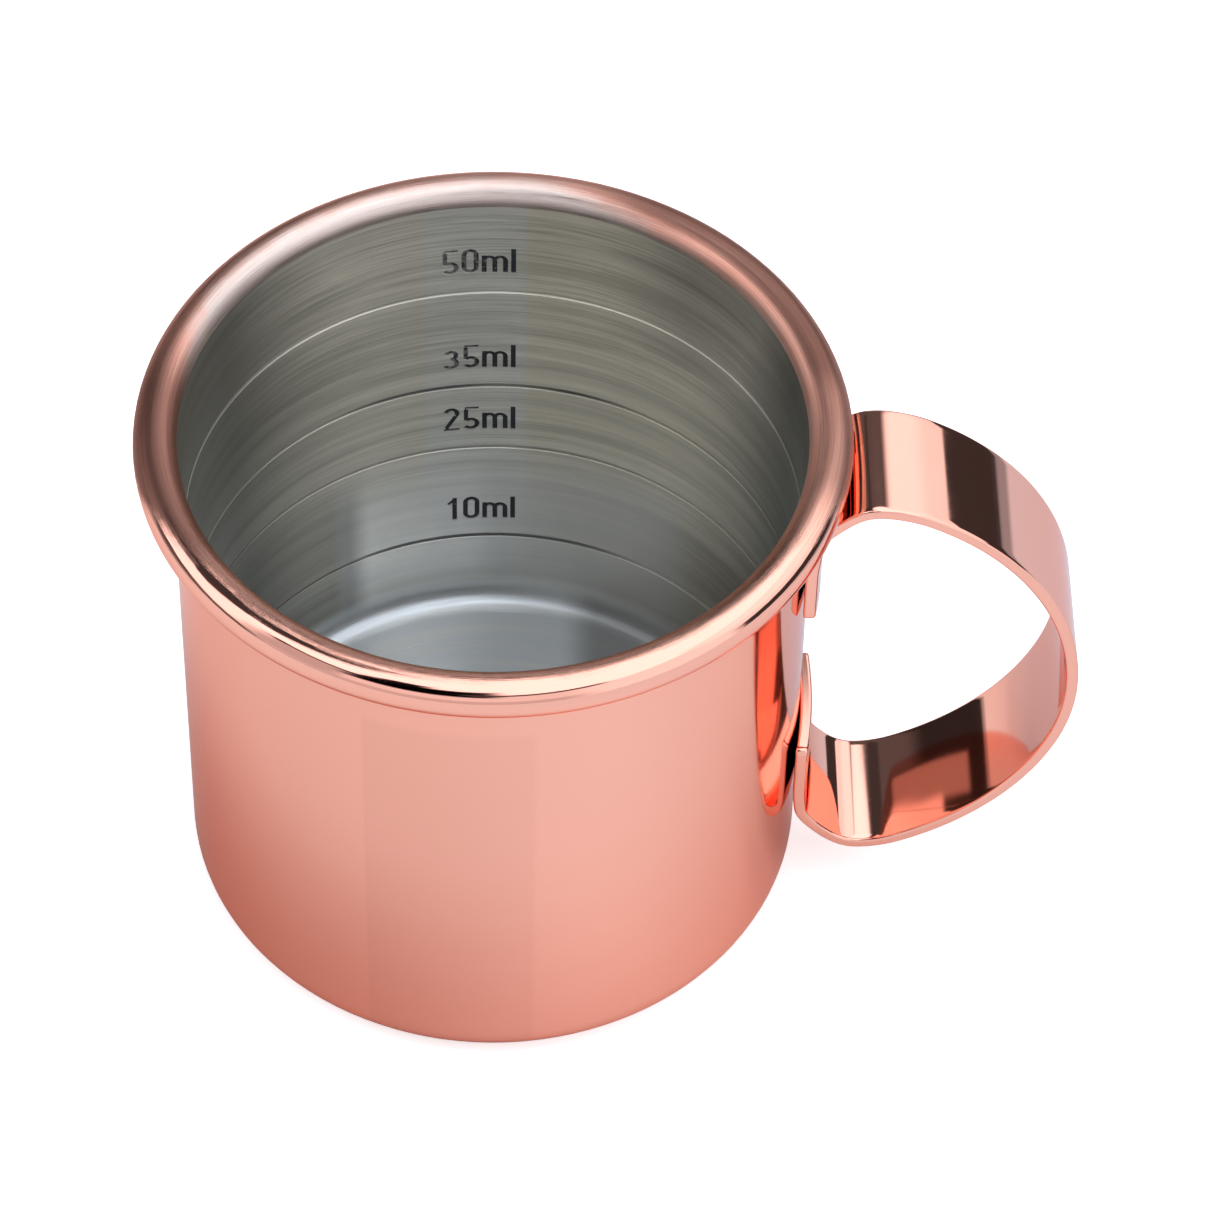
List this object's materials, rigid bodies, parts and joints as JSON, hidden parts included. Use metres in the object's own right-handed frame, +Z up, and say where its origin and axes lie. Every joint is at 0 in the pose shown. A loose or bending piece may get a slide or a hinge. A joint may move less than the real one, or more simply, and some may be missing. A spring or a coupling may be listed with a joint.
{
  "type": "bar jigger",
  "caption": "Graduated measuring cup with a rolled rim, scribed volume rings and a welded strap handle, copper plated outside and bare steel inside.",
  "frame": {"origin": "centre of the base's underside, on the cup's axis, on the surface that the cup stands on", "axes": "+Z up along the cup's axis; +X from the axis out through the middle of the handle; +Y to complete a right-handed frame"},
  "size_m": [0.0667, 0.05, 0.0446],
  "materials": {
    "bare_steel": "fine circular brushing, satin",
    "copper_plate": "polished copper plate, bright; satin on the rim",
    "strap_copper": "polished copper plate, bright",
    "weld_steel": "as-welded steel, hidden",
    "mark_fill": "dark oxide at the bottom of the stamping, matt"
  },
  "bodies": {
    "root": {"cup_shell": "bare_steel", "copper_plating": "copper_plate", "handle_strap": "strap_copper", "upper_spot_welds": "weld_steel", "lower_spot_welds": "weld_steel", "mark_10ml": "mark_fill", "mark_25ml": "mark_fill", "mark_35ml": "mark_fill", "mark_50ml": "mark_fill"}
  },
  "joints": []
}
